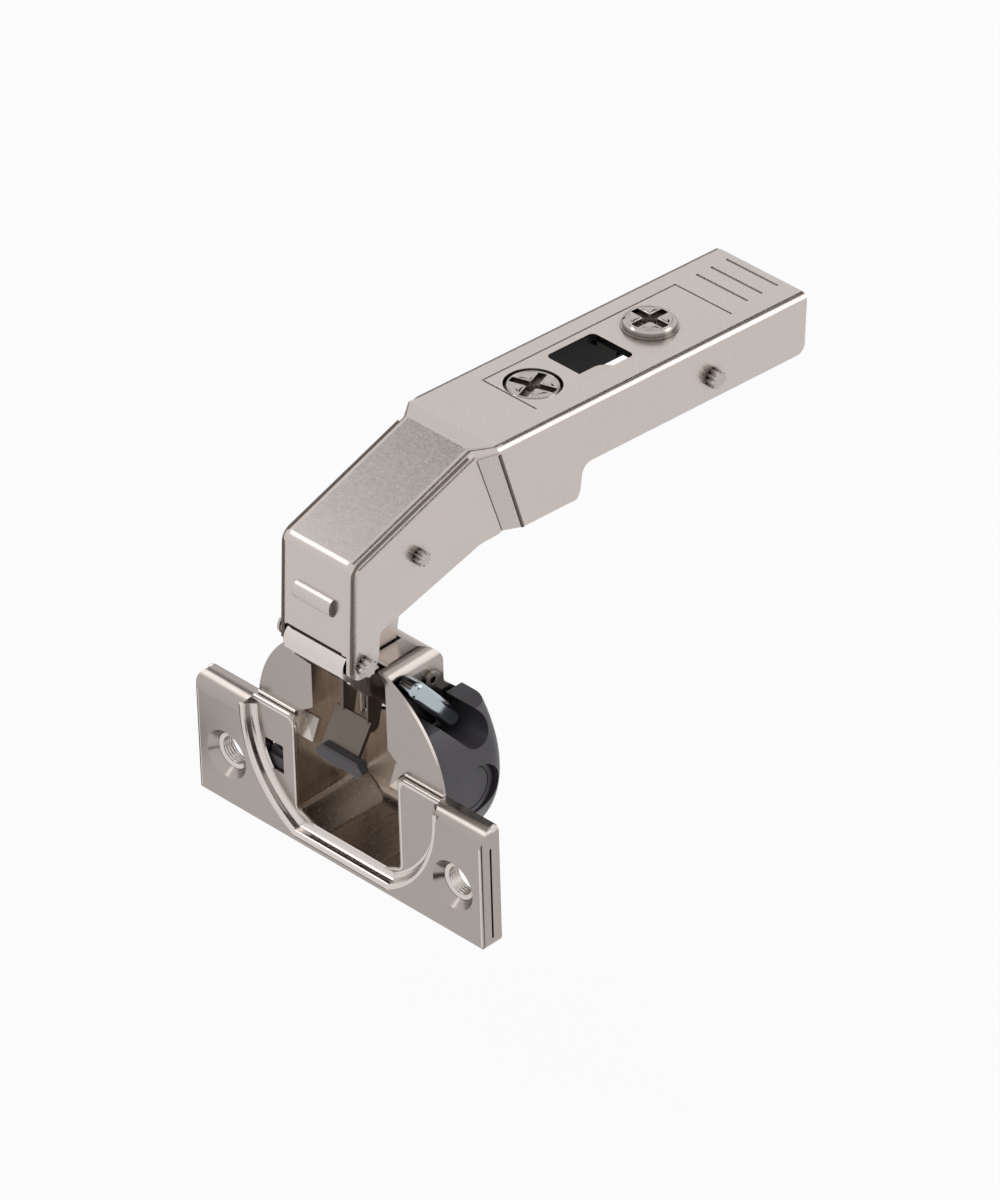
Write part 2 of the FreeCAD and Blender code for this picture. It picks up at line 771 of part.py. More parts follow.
def cross_cut(top):
    """Cross recess that narrows downwards, in the arm's own frame."""
    half = cross_width / 2.0
    long_bar = Part.makeBox(2 * cross_length, cross_width, cross_depth + 1.0,
                            V(-cross_length, -half, top - cross_depth))
    cone = Part.makeCone(0.5, cross_width * 0.95, 1.9, V(0, 0, top - 1.9))
    turned = long_bar.copy()
    turned.rotate(V(0, 0, 0), V(0, 0, 1), 90)
    return long_bar.fuse([turned, cone])


def side_screw():
    """Front screw, sunk in the arm: it sets the door sideways."""
    top = -side_head_sink
    head = Part.makeCylinder(side_head_r, side_head_t, V(0, 0, top - side_head_t))
    rims = edges_where(head, lambda m, e: abs(m.z - top) < 0.01)
    head = head.makeChamfer(0.35, rims)
    shank = Part.makeCylinder(side_shank_r, side_shank_length,
                              V(0, 0, top - side_head_t - side_shank_length))
    tip = edges_where(shank, lambda m, e: m.z < top - side_head_t - side_shank_length + 0.01)
    shank = shank.makeChamfer(0.6, tip)
    recess = cross_cut(top)
    recess.rotate(V(0, 0, 0), V(0, 0, 1), 20)
    screw = head.fuse(shank).cut(recess)
    screw.translate(V(0, side_screw_s, 0))
    return along_arm(screw)


def side_insert():
    """Threaded collar under the arm, which the front screw turns in."""
    top = -arm_t - carriage_gap - carriage_t
    low = top - insert_t
    collar = Part.makeCylinder(insert_r, insert_t, V(0, side_screw_s, low))
    bore = Part.makeCylinder(side_shank_r + running_gap, insert_t + 2.0,
                             V(0, side_screw_s, low - 1.0))
    return along_arm(collar.cut(bore))


def depth_screw():
    """Rear screw with a proud head, a neck in the arm and an eccentric cam below."""
    head = Part.makeCylinder(depth_head_r, depth_head_t, V(0, 0, 0.25))
    rims = edges_where(head, lambda m, e: m.z > depth_head_t + 0.24)
    head = head.makeChamfer(0.35, rims)
    flange = Part.makeCylinder(depth_flange_r, 0.25, V(0, 0, fit_gap))
    neck = Part.makeCylinder(depth_neck_r, arm_t + 0.2 + carriage_gap, V(0, 0, -arm_t - carriage_gap))
    cam = Part.makeCylinder(depth_cam_r, depth_cam_t,
                            V(0, 0, -arm_t - carriage_gap - depth_cam_t))
    screw = head.fuse([flange, neck, cam]).cut(cross_cut(depth_head_t + 0.25))
    screw.translate(V(0, depth_screw_s, 0))
    return along_arm(screw)


def carriage():
    """Inner channel that clips on the mounting plate and slides in the arm for depth."""
    top = -arm_t - carriage_gap
    length = carriage_end - carriage_start
    plate = Part.makeBox(2 * carriage_half, length, carriage_t,
                         V(-carriage_half, carriage_start, top - carriage_t))
    body = plate
    for side in (-1, 1):
        x = carriage_half - carriage_t if side > 0 else -carriage_half
        body = body.fuse(Part.makeBox(carriage_t, length, carriage_wall + carriage_t,
                                      V(x, carriage_start, top - carriage_t - carriage_wall)))
        body = body.fuse(Part.makeBox(carriage_t, hook_length, hook_drop + carriage_t,
                                      V(x, hook_s, top - carriage_t - hook_drop)))
        ear = Part.makeCylinder(ear_r, carriage_t, V(x, latch_pin_s, latch_pin_h), V(1, 0, 0))
        body = body.fuse(ear)
    body = body.removeSplitter()
    long_edges = edges_where(body, lambda m, e: abs(abs(m.x) - carriage_half) < 0.01
                             and abs(m.z - top) < 0.01 and e.Length > length - 1.0)
    body = body.makeFillet(0.9, long_edges)
    slot_r = depth_cam_r + slot_clear
    travel = depth_travel
    shank_slot = side_shank_r + slot_clear
    cuts = [Part.makeBox(2 * shank_slot, 2 * (shank_slot + travel), 9.0,
                         V(-shank_slot, side_screw_s - shank_slot - travel, top - 6.0)),
            Part.makeBox(2 * slot_r, 2 * (slot_r + travel), 9.0,
                         V(-slot_r, depth_screw_s - slot_r - travel, top - 6.0))]
    pin_slot = rear_pin_r + slot_clear
    through = 4.0 * carriage_half
    cuts.append(Part.makeBox(through, 2 * (pin_slot + travel), 2 * pin_slot,
                             V(-through / 2.0, rear_pin_s - pin_slot - travel,
                               rear_pin_h - pin_slot)))
    cuts.append(Part.makeCylinder(latch_pin_r + fit_gap, through,
                                  V(-through / 2.0, latch_pin_s, latch_pin_h), V(1, 0, 0)))
    wide = window_half + 1.1
    tab = [V(-wide, window_start - 1.0, -9), V(tab_x, window_start - 1.0, -9),
           V(tab_x, tab_s, -9), V(wide, tab_s, -9),
           V(wide, window_end + 1.0, -9), V(-wide, window_end + 1.0, -9)]
    hole = Part.Face(rounded_wire(tab, [0.5, 0.5, 2.4, 0.5, 0.5, 0.5])).extrude(V(0, 0, 9.0))
    cuts.append(hole)
    hook = Part.makeCylinder(hook_r, through,
                             V(-through / 2.0, hook_s, top - carriage_t - hook_drop + hook_r + 0.2),
                             V(1, 0, 0))
    cuts.append(hook)
    return along_arm(body.cut(cuts).removeSplitter())


def latch_pin():
    """Pin that the release lever turns on."""
    place = arm_point(latch_pin_s, latch_pin_h)
    return rod_x(place, latch_pin_r, -carriage_half - 0.3, carriage_half + 0.3)


def latch_lever():
    """Release lever at the back: two cheeks with claws, and a thumb plate."""
    half = latch_half
    s0 = latch_pin_s
    h0 = latch_pin_h
    body = None
    for side in (-1, 1):
        x = half - latch_t if side > 0 else -half
        points = [V(x, s0 - latch_claw, h0 - latch_drop + 0.6),
                  V(x, s0 - latch_claw + 1.0, h0 + latch_rise),
                  V(x, s0 + latch_tail, h0 + latch_rise - 0.2),
                  V(x, s0 + latch_tail, h0 - latch_t),
                  V(x, s0 + latch_t + 0.4, h0 - latch_pin_r - 1.4),
                  V(x, s0 - latch_claw + 2.8, h0 - latch_drop),
                  V(x, s0 - latch_claw + 1.6, h0 - latch_drop + 1.4)]
        cheek = Part.Face(rounded_wire(points, [0.3, 1.0, 0.5, 0.5, 1.0, 0.4, 0.3]))
        cheek = cheek.extrude(V(latch_t, 0, 0))
        body = cheek if body is None else body.fuse(cheek)
    thumb = Part.makeBox(2 * half, latch_t, latch_tail - 0.6,
                         V(-half, s0 + latch_tail - 0.2, h0 - latch_tail + latch_rise + 0.4))
    body = body.fuse(thumb)
    body = body.cut(Part.makeCylinder(latch_pin_r + running_gap, 40.0, V(-20, s0, h0), V(1, 0, 0)))
    return along_arm(body.removeSplitter())


def latch_spring():
    """Bent leaf on the latch pin that keeps the lever's claws forward."""
    h = 0.25
    s0 = latch_pin_s
    h0 = latch_pin_h
    r = latch_pin_r + fit_gap
    eye = Part.makeCylinder(r + 0.5, 6.0, V(-3, s0, h0), V(1, 0, 0))
    tail_top = -arm_t - carriage_gap - carriage_t
    tail = Part.makeBox(6.0, 2 * h, tail_top - h0, V(-3.0, s0 - r - 0.5, h0))
    body = eye.fuse(tail).cut(Part.makeCylinder(r, 20.0, V(-10, s0, h0), V(1, 0, 0)))
    return along_arm(body.removeSplitter())


pieces = {
    "cup_plate": cup_plate,
    "axle_bar": axle_bar,
    "spring_post": spring_post,
    "closing_spring": closing_spring,
    "damper_housing": damper_housing,
    "damper_cap": damper_cap,
    "switch_housing": switch_housing,
    "switch_slider": switch_slider,
    "cam_lever": cam_lever,
    "cam_slider": cam_slider,
    "outer_link": outer_link,
    "inner_link": inner_link,
    "arm_shell": arm_shell,
    "front_pin": lambda: headed_pin(front_pivot, front_pin_r, front_head_r, front_head_t, mid_half),
    "middle_pin": lambda: plain_pin(middle_pivot, middle_pin_r, mid_half),
    "rear_pin": lambda: plain_pin(arm_point(rear_pin_s, rear_pin_h), rear_pin_r, rear_half),
    "side_screw": side_screw,
    "side_insert": side_insert,
    "depth_screw": depth_screw,
    "carriage": carriage,
    "latch_pin": latch_pin,
    "latch_lever": latch_lever,
    "latch_spring": latch_spring,
}

for node, make in pieces.items():
    save(make(), node)
    print(node)
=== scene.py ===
import json
import math
from functools import partial

import bmesh
import bpy
import numpy as np
from mathutils import Matrix, Vector


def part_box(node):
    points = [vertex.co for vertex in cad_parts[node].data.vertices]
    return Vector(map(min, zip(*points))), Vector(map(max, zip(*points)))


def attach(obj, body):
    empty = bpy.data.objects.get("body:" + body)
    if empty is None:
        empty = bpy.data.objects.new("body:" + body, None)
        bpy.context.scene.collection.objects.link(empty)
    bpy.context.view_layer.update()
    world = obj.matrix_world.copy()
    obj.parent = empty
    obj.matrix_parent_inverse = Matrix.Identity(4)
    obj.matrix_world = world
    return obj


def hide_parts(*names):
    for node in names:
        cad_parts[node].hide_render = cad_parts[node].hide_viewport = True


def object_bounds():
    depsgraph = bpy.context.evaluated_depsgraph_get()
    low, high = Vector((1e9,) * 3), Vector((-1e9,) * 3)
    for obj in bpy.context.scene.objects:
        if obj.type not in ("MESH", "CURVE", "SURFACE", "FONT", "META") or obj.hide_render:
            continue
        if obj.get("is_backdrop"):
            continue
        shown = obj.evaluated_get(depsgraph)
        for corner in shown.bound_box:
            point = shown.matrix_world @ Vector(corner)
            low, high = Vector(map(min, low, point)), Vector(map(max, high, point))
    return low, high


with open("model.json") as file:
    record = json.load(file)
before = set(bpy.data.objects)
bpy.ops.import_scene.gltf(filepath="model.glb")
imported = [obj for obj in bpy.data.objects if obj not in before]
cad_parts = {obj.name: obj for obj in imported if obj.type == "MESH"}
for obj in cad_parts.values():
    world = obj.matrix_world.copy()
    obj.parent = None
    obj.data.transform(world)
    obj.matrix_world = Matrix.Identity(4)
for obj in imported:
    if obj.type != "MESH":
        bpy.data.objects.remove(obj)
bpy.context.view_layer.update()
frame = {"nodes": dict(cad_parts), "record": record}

bl_info = {
    "name": "Cranked cabinet hinge",
    "version": (1, 0, 0),
    "blender": (4, 5, 0),
    "location": "View3D > Sidebar > Hinge",
    "description": "Dresses the packed hinge with its finishes and fine metalwork",
    "category": "Object",
}

MM = 0.001
MERGE_STEP = 2e-6

# The frame's nodes, slots and bodies
NODES = frame["nodes"]
NODE_SLOTS = {p["node"]: p["material_slot"] for p in frame["record"]["subparts"]}
BODY_OF = {n: b for b, names in frame["record"]["behaviour"]["bodies"].items() for n in names}


def middle(node):
    """Centre of a node's box."""
    low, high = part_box(node)
    return (np.array(low) + np.array(high)) / 2.0


# Shader expressions

class Wire:
    """One socket of a material, on which Python's operators add Math nodes."""

    def __init__(self, recipe, socket):
        self.recipe = recipe
        self.socket = socket

    def math(self, operation, *others):
        """A Math node of this wire and the other values."""
        return self.recipe.math(operation, self, *others)

    def __add__(self, other):
        return self.math("ADD", other)

    def __radd__(self, other):
        return self.recipe.math("ADD", other, self)

    def __sub__(self, other):
        return self.math("SUBTRACT", other)

    def __rsub__(self, other):
        return self.recipe.math("SUBTRACT", other, self)

    def __mul__(self, other):
        return self.math("MULTIPLY", other)

    def __rmul__(self, other):
        return self.recipe.math("MULTIPLY", other, self)

    def clipped(self, low=0.0, high=1.0):
        """This value held between low and high."""
        return self.math("MAXIMUM", low).math("MINIMUM", high)


class Recipe:
    """The node tree of one material or world, filled by expressions."""

    def __init__(self, owner):
        owner.use_nodes = True
        self.owner = owner
        self.tree = owner.node_tree
        self.tree.nodes.clear()

    def add(self, kind, settings=None, inputs=None, output=0):
        """A node of any kind: its settings first, then the values or links of its sockets."""
        node = self.tree.nodes.new(kind)
        for key, value in (settings or {}).items():
            setattr(node, key, value)
        for key, value in (inputs or {}).items():
            if isinstance(value, Wire):
                self.tree.links.new(value.socket, node.inputs[key])
            elif isinstance(value, tuple) and node.inputs[key].type == "RGBA":
                node.inputs[key].default_value = (*value, 1.0)
            else:
                node.inputs[key].default_value = value
        return Wire(self, node.outputs[output])

    def math(self, operation, *values):
        """A Math node on numbers and wires."""
        return self.add("ShaderNodeMath", {"operation": operation}, dict(enumerate(values)))

    def mix(self, factor, first, second):
        """Colour that goes from first to second."""
        return self.add("ShaderNodeMix", {"data_type": "RGBA"},
                        {0: factor, 6: first, 7: second}, output=2)

    def noise(self, place, scale, detail=2.0):
        """Noise value about 0.5, in lumps of about one over scale metres."""
        return self.add("ShaderNodeTexNoise", {},
                        {"Vector": place, "Scale": scale, "Detail": detail})

    def place(self, stretch=(1.0, 1.0, 1.0)):
        """Object coordinates, stretched."""
        point = self.add("ShaderNodeTexCoord", output=3)
        return self.add("ShaderNodeMapping", {}, {"Vector": point, "Scale": stretch})

    def rounded_edges(self):
        """Normals that turn over a small round at each cut edge."""
        return self.add("ShaderNodeBevel", {"samples": 4}, {"Radius": finish().edge_round})

    def openness(self, reach):
        """One on open faces, and less in slots, gaps and inner corners within a reach."""
        return self.add("ShaderNodeAmbientOcclusion", {"samples": 6}, {"Distance": reach},
                        output="AO")

    def surface(self, inputs):
        """The material's Principled surface and its output."""
        self.output("ShaderNodeOutputMaterial", self.add("ShaderNodeBsdfPrincipled", {}, inputs))
        return self.owner

    def output(self, kind, shader):
        """The tree's output node, fed by a shader."""
        out = self.tree.nodes.new(kind)
        self.tree.links.new(shader.socket, out.inputs["Surface"])


def tinted(colour, factor):
    """A colour made lighter or darker by one factor."""
    return tuple(min(1.0, c * factor) for c in colour)


def satin_metal(name, colour, rough, grain=0.5, cloud=0.05, streak=(1.0, 1.0, 1.0), drawn=0.05,
                shade_tone=0.12, reach=2.2 * MM):
    """Plated sheet: fine sparkling grain, soft clouds of tone and faint drawing streaks.

    It is darkened towards the shade tone in slots, gaps and inner corners by an occlusion mask:
    painted shade.
    """
    recipe = Recipe(bpy.data.materials.new(name))
    here = recipe.place()
    grains = recipe.noise(here, 7000.0, 1.0)
    clouds = recipe.noise(here, 110.0, 3.0)
    streaks = recipe.noise(recipe.place(streak), 1500.0, 2.0)
    tone = (clouds - 0.5) * cloud * 2.0 + (grains - 0.5) * (grain * 0.3)
    tone = (tone + (streaks - 0.5) * (drawn * 2.0) + 0.5).clipped()
    tint = recipe.mix(tone, tinted(colour, 0.7), tinted(colour, 1.3))
    # Painted shade: one where open, falling to nought in slots, gaps and inner corners, where the
    # colour goes dark.
    unshaded = ((recipe.openness(reach) - 0.25) * 1.7).clipped()
    tint = recipe.mix(unshaded, tinted(colour, shade_tone), tint)
    gloss = (grains - 0.5) * (grain * 0.4) + (streaks - 0.5) * 0.1 + rough
    bump = recipe.add("ShaderNodeBump", {}, {"Strength": 0.25, "Distance": 0.00001,
                                             "Height": grains * 0.7 + streaks * 0.3,
                                             "Normal": recipe.rounded_edges()})
    return recipe.surface({"Base Color": tint, "Metallic": 1.0,
                           "Roughness": gloss.clipped(0.05, 1.0), "Normal": bump})


def moulded_plastic(name, colour, rough, texture=3200.0):
    """Dark moulded plastic with a fine spark-eroded skin and a little wear in its tone."""
    recipe = Recipe(bpy.data.materials.new(name))
    here = recipe.place()
    skin = recipe.noise(here, texture)
    clouds = recipe.noise(here, 160.0)
    tone = ((clouds - 0.5) * 0.5 + (skin - 0.5) * 0.35 + 0.5).clipped()
    tint = recipe.mix(tone, tinted(colour, 0.82), tinted(colour, 1.2))
    bump = recipe.add("ShaderNodeBump", {}, {"Strength": 0.25, "Distance": 0.00002,
                                             "Height": skin, "Normal": recipe.rounded_edges()})
    return recipe.surface({"Base Color": tint, "Normal": bump,
                           "Roughness": ((clouds - 0.5) * 0.2 + rough).clipped()})


# Settings that a user would change

def colour_setting(name, description, default):
    """A colour property."""
    return bpy.props.FloatVectorProperty(name=name, description=description, default=default,
                                         subtype="COLOR", size=3, min=0.0, max=1.0)


def length_setting(name, description, default):
    """A length property, in metres."""
    return bpy.props.FloatProperty(name=name, description=description, default=default,
                                   subtype="DISTANCE", unit="LENGTH")


def angle_setting(name, description, degrees):
    """An angle property."""
    return bpy.props.FloatProperty(name=name, description=description,
                                   default=math.radians(degrees), subtype="ANGLE")


class HingeFinish(bpy.types.PropertyGroup):
    """Colours and edge rounds of the finishes."""
    arm_nickel: colour_setting("Arm", "Nickel plate of the arm and links", (0.57, 0.515, 0.485))
    cup_nickel: colour_setting("Cup", "Nickel plate of the cup and flange", (0.39, 0.352, 0.325))
    drawn_nickel: colour_setting("Pocket", "Drawn sheet inside the pocket", (0.58, 0.515, 0.46))
    bright_zinc: colour_setting("Axle", "Bright zinc of the axle bar", (0.42, 0.47, 0.50))
    plastic: colour_setting("Plastic", "Dark moulded plastic", (0.062, 0.056, 0.064))
    # Painted highlight: a lighter copy of the nickel, given to edge rolls, bends and the outer link
    # so they read bright.
    highlight_nickel: colour_setting("Edges", "Nickel rubbed bright on edges", (0.66, 0.61, 0.575))
    screw_steel: colour_setting("Screws", "Steel of the screw heads", (0.47, 0.43, 0.40))
    # Painted shade: the dark brown that stands in for the shade in the screws' cross slots, in the
    # arm's bends and on the lever in the pocket.
    slot_shade_brown: colour_setting("Slots", "Dull metal in the screws' slots", (0.17, 0.142, 0.12))
    # Painted shade: the near black that stands in for the shade inside the channels and in dark
    # gaps.
    shadow: colour_setting("Recesses", "Blackened steel inside the recesses", (0.02, 0.019, 0.018))
    edge_round: length_setting("Edge round", "Round on the cut edges of the sheets", 0.08 * MM)


class HingeStage(bpy.types.PropertyGroup):
    """Camera and floor."""
    azimuth: angle_setting("Azimuth", "Camera turn round the hinge", 45.6911)
    elevation: angle_setting("Elevation", "Camera height angle", 35.3178)
    roll: angle_setting("Roll", "Camera turn about its own view", 1.6814)
    distance: length_setting("Distance", "Camera distance from its target", 1.38122)
    lens: bpy.props.FloatProperty(name="Lens", description="Focal length in millimetres",
                                  default=297.708)
    target: bpy.props.FloatVectorProperty(name="Target", description="Point the camera looks at",
                                          default=(0.006015, 0.023365, 0.016961),
                                          subtype="XYZ", size=3, unit="LENGTH")
    floor_drop: length_setting("Floor drop", "Floor below the hinge", 30 * MM)


# Finishes

def finish():
    """The user's finish settings."""
    return bpy.context.scene.hinge_finish


def arm_metal():
    """Satin nickel of the arm."""
    return satin_metal("arm_nickel", tuple(finish().arm_nickel), 0.24, shade_tone=0.3)


def cup_metal():
    """Satin nickel of the flange and disc."""
    return satin_metal("cup_nickel", tuple(finish().cup_nickel), 0.22, 0.3, shade_tone=0.3,
                       reach=1.6 * MM)


def drawn_metal():
    """Nickel with long drawing streaks, inside the pocket."""
    return satin_metal("drawn_nickel", tuple(finish().drawn_nickel), 0.24, 0.25, 0.08,
                       streak=(1.0, 1.0, 0.03), drawn=0.3, shade_tone=0.5, reach=1.5 * MM)


def axle_metal():
    """Bright zinc of the axle bar."""
    return satin_metal("axle_zinc", tuple(finish().bright_zinc), 0.12, 0.15)


def dark_plastic():
    """Dark grey moulded plastic."""
    return moulded_plastic("housing_plastic", tuple(finish().plastic), 0.42)


def highlight_metal():
    """Lighter copy of the nickel on bends, rolled edges and pin ends: a painted highlight."""
    return satin_metal("highlight_nickel", tuple(finish().highlight_nickel), 0.2, 0.25, 0.04,
                       shade_tone=0.6, reach=0.6 * MM)


def screw_metal():
    """Bright steel of the screw heads, with fine turning marks."""
    return satin_metal("screw_steel", tuple(finish().screw_steel), 0.14, 0.15, 0.05)


def slot_shade_metal():
    """Dark brown painted shade: the cross slots of the screws, the shade lines in the arm's bends
    and the lever deep in the pocket.
    """
    return satin_metal("slot_shade_metal", tuple(finish().slot_shade_brown), 0.45, 0.3, shade_tone=0.5)


def recess_shade_black():
    """Near black painted shade deep in a recess, in place of the shade there."""
    return satin_metal("recess_shade_black", tuple(finish().shadow), 0.5)


# The slot and recess finishes are painted shade, and the lighter edge nickel is a painted highlight.
FINISHES = {"nickel_arm": arm_metal, "nickel_cup": cup_metal, "pocket": drawn_metal,
            "bright_pin": axle_metal, "screw_steel": arm_metal, "dark_plastic": dark_plastic,
            "spring_steel": drawn_metal, "slot": slot_shade_metal, "recess": recess_shade_black,
            "painted_highlight": highlight_metal, "bright": screw_metal}
MADE = {}


def finish_of(slot):
    """The material of a slot, made once."""
    if slot not in MADE:
        MADE[slot] = FINISHES[slot]()
    return MADE[slot]


# Pieces

def new_piece(name, mesh):
    """An object at the origin that carries a mesh."""
    piece = bpy.data.objects.new(name, mesh)
    bpy.context.scene.collection.objects.link(piece)
    return piece


def points_of(mesh):
    """A mesh's points in metres, one in each row."""
    points = np.empty(len(mesh.vertices) * 3)
    mesh.vertices.foreach_get("co", points)
    return points.reshape(-1, 3)


def put_points(mesh, points):
    """Puts a mesh's points in their new places."""
    mesh.vertices.foreach_set("co", points.reshape(-1))
    mesh.update()


def smooth_by_angle(work, degrees):
    """Smooth faces, with sharp edges where two faces meet at more than an angle."""
    limit = math.radians(degrees)
    for edge in work.edges:
        edge.smooth = len(edge.link_faces) == 2 and edge.calc_face_angle(0.0) < limit
    for face in work.faces:
        face.smooth = True


def finished(*names):
    """Gives CAD nodes, whose shapes are right, the finish of their slots."""
    for name in names:
        node = NODES[name]
        for holder in node.material_slots:
            holder.material = finish_of(NODE_SLOTS[name])


def merged_copy(node):
    """A copy of a CAD node whose corners that lie together are one, with the same normals.

    place = corner rounded to the merge step, and a face stays if its three places differ.
    """
    source = NODES[node].data
    corners = np.empty(len(source.loops), dtype=np.int64)
    source.loops.foreach_get("vertex_index", corners)
    normals = np.empty(len(source.loops) * 3)
    source.corner_normals.foreach_get("vector", normals)
    steps = np.round(points_of(source) / MERGE_STEP)
    places, index = np.unique(steps, axis=0, return_inverse=True)
    faces = index.reshape(-1)[corners].reshape(-1, 3)
    kept = (faces != np.roll(faces, 1, axis=1)).all(axis=1)
    mesh = bpy.data.meshes.new(node + "_dressed")
    mesh.from_pydata((places * MERGE_STEP).tolist(), [], faces[kept].tolist())
    mesh.shade_smooth()
    mesh.normals_split_custom_set(normals.reshape(-1, 3, 3)[kept].reshape(-1, 3).tolist())
    return new_piece(node + "_dressed", mesh)


def dressed(node, inside=None, slot="pocket"):
    """A merged copy that stands for a CAD node.

    Faces for which inside(centre, normal) holds, given whole arrays, get another finish.
    """
    piece = merged_copy(node)
    mesh = piece.data
    mesh.materials.append(finish_of(NODE_SLOTS[node]))
    if inside:
        mesh.materials.append(finish_of(slot))
        centres = np.empty(len(mesh.polygons) * 3)
        mesh.polygons.foreach_get("center", centres)
        ways = np.empty(len(mesh.polygons) * 3)
        mesh.polygons.foreach_get("normal", ways)
        chosen = inside(centres.reshape(-1, 3).T / MM, ways.reshape(-1, 3).T)
        mesh.polygons.foreach_set("material_index", chosen.astype(np.int32))
    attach(piece, BODY_OF[node])
    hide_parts(node)
    return piece


def grid_piece(name, grid, like, slot=None):
    """A smooth surface on a grid of points (rows, columns, 3), closed round its columns.

    It rides as the node it belongs to, and its poles and seams are merged.
    """
    rows, columns = grid.shape[:2]
    left = np.arange(rows * columns).reshape(rows, columns)
    right = np.roll(left, -1, axis=1)
    quads = np.stack([left[:-1], right[:-1], right[1:], left[1:]], axis=-1).reshape(-1, 4)
    mesh = bpy.data.meshes.new(name)
    mesh.from_pydata((grid.reshape(-1, 3) * MM).tolist(), [], quads.tolist())
    work = bmesh.new()
    work.from_mesh(mesh)
    bmesh.ops.remove_doubles(work, verts=work.verts, dist=1e-7)
    bmesh.ops.recalc_face_normals(work, faces=work.faces)
    smooth_by_angle(work, 40.0)
    work.to_mesh(mesh)
    work.free()
    piece = new_piece(name, mesh)
    mesh.materials.append(finish_of(slot or NODE_SLOTS[like]))
    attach(piece, BODY_OF[like])
    return piece


def capped(grid):
    """The same rows, with a row before and after that is drawn in to the end row's middle."""
    first, last = (np.broadcast_to(grid[k].mean(axis=0), grid[k].shape)[None] for k in (0, -1))
    return np.concatenate([first, grid, last])


def turned(name, profile, centre, axis, like, slot=None, ribs=0, rib_depth=0.0, steps=48):
    """A profile of (radius, height) turned about an axis through a centre.

    point = centre + height * axis + radius * (1 + rib_depth * cos(ribs * angle)) * spoke(angle)
    """
    axis = np.array(axis, float) / np.linalg.norm(axis)
    side = np.cross(axis, (0.0, 0.0, 1.0) if abs(axis[2]) < 0.9 else (1.0, 0.0, 0.0))
    side /= np.linalg.norm(side)
    other = np.cross(axis, side)
    angle = np.linspace(0.0, 2.0 * math.pi, max(steps, 8 * ribs), endpoint=False)
    radius, height = np.array(profile, float).T
    spoke = np.outer(np.cos(angle), side) + np.outer(np.sin(angle), other)
    reach = radius[:, None] * (1.0 + rib_depth * np.cos(ribs * angle))[None, :]
    grid = np.array(centre, float) + height[:, None, None] * axis + reach[:, :, None] * spoke
    return grid_piece(name, grid, like, slot)


def roll(name, path, normal, radius, like, slot=None, closed=False, steps=12):
    """A round roll carried along a path in a plane: a circle in each cross-section."""
    path = np.array(path, float)
    normal = np.array(normal, float) / np.linalg.norm(normal)
    if closed:
        ahead = np.roll(path, -1, axis=0) - np.roll(path, 1, axis=0)
    else:
        ahead = np.gradient(path, axis=0)
    ahead /= np.linalg.norm(ahead, axis=1)[:, None]
    side = np.cross(ahead, normal)
    angle = np.linspace(0.0, 2.0 * math.pi, steps, endpoint=False)
    grid = (path[:, None, :] + radius * (np.cos(angle)[None, :, None] * side[:, None, :]
                                         + np.sin(angle)[None, :, None] * normal))
    grid = np.concatenate([grid, grid[:1]]) if closed else capped(grid)
    return grid_piece(name, grid, like, slot)


def band(name, line, inward, profile, like, slot=None):
    """A strip carried along a line: point = line + across * inward + out * (0, -1, 0).

    The profile holds (across, out), and comes back to its start, so the strip is a closed skin.
    """
    line = np.array(line, float)
    inward = np.array(inward, float)
    across, out = np.array(profile, float).T
    grid = (line[:, None, :] + across[None, :, None] * inward[:, None, :]
            + out[None, :, None] * np.array([0.0, -1.0, 0.0]))
    return grid_piece(name, capped(grid), like, slot)


def arc_points(centre, radius, start, end, count):
    """Points of an arc from one angle to another, in degrees, as (first, second)."""
    angle = np.radians(np.linspace(start, end, count))
    return np.stack([centre[0] + radius * np.cos(angle), centre[1] + radius * np.sin(angle)], axis=1)


def rounded_line(corners, radii, count=9):
    """A line through corners, each turned by an arc of its radius.

    The arc's centre lies at radius / sin(half angle) from the corner, between its two runs.
    """
    corners = np.array(corners, float)
    points = [corners[:1]]
    for before, here, after, radius in zip(corners[:-2], corners[1:-1], corners[2:], radii):
        a = (before - here) / np.linalg.norm(before - here)
        b = (after - here) / np.linalg.norm(after - here)
        half = math.acos(max(-1.0, min(1.0, float(a @ b)))) / 2.0
        middle_way = (a + b) / np.linalg.norm(a + b)
        centre = here + middle_way * radius / math.sin(half)
        first = here + a * radius / math.tan(half) - centre
        last = here + b * radius / math.tan(half) - centre
        turn = np.linspace(0.0, 1.0, count)[:, None]
        spread = math.pi - 2.0 * half
        points.append(centre + (np.sin((1.0 - turn) * spread) * first
                                + np.sin(turn * spread) * last) / math.sin(spread))
    points.append(corners[-1:])
    return np.concatenate(points)


def inward_of(line):
    """Unit directions in the door's plane, to the right of a line's run."""
    ahead = np.gradient(line, axis=0)
    ahead /= np.linalg.norm(ahead, axis=1)[:, None]
    return np.stack([-ahead[:, 1], ahead[:, 0]], axis=1)


def in_door_plane(points, y=0.0):
    """Points (X, Z) as places in the plane Y = y."""
    return np.stack([points[:, 0], np.full(len(points), y), points[:, 1]], axis=1)


# The two sides of the hinge, left and right of the middle plane

SIDES = (-1, 1)


def side_name(side, piece):
    """A piece's name, with the side that it is on."""
    return ("left_" if side < 0 else "right_") + piece


# The arm's own directions: along its rear part, and up from its top

TILT = math.radians(-4.24)
ALONG = np.array([0.0, math.cos(TILT), math.sin(TILT)])
UP = np.array([0.0, -math.sin(TILT), math.cos(TILT)])
ARM_START = np.array([0.0, 21.0, 45.0])


def on_arm(x, s, h):
    """Point at x across, s along and h above the arm's rear top, in millimetres."""
    return ARM_START + np.array([x, 0.0, 0.0]) + s * ALONG + h * UP


def along_and_above(centre):
    """How far points lie along the arm's rear top and above it."""
    y, z = centre[1] - ARM_START[1], centre[2] - ARM_START[2]
    return y * ALONG[1] + z * ALONG[2], y * UP[1] + z * UP[2]


# Operators, one for each group of pieces

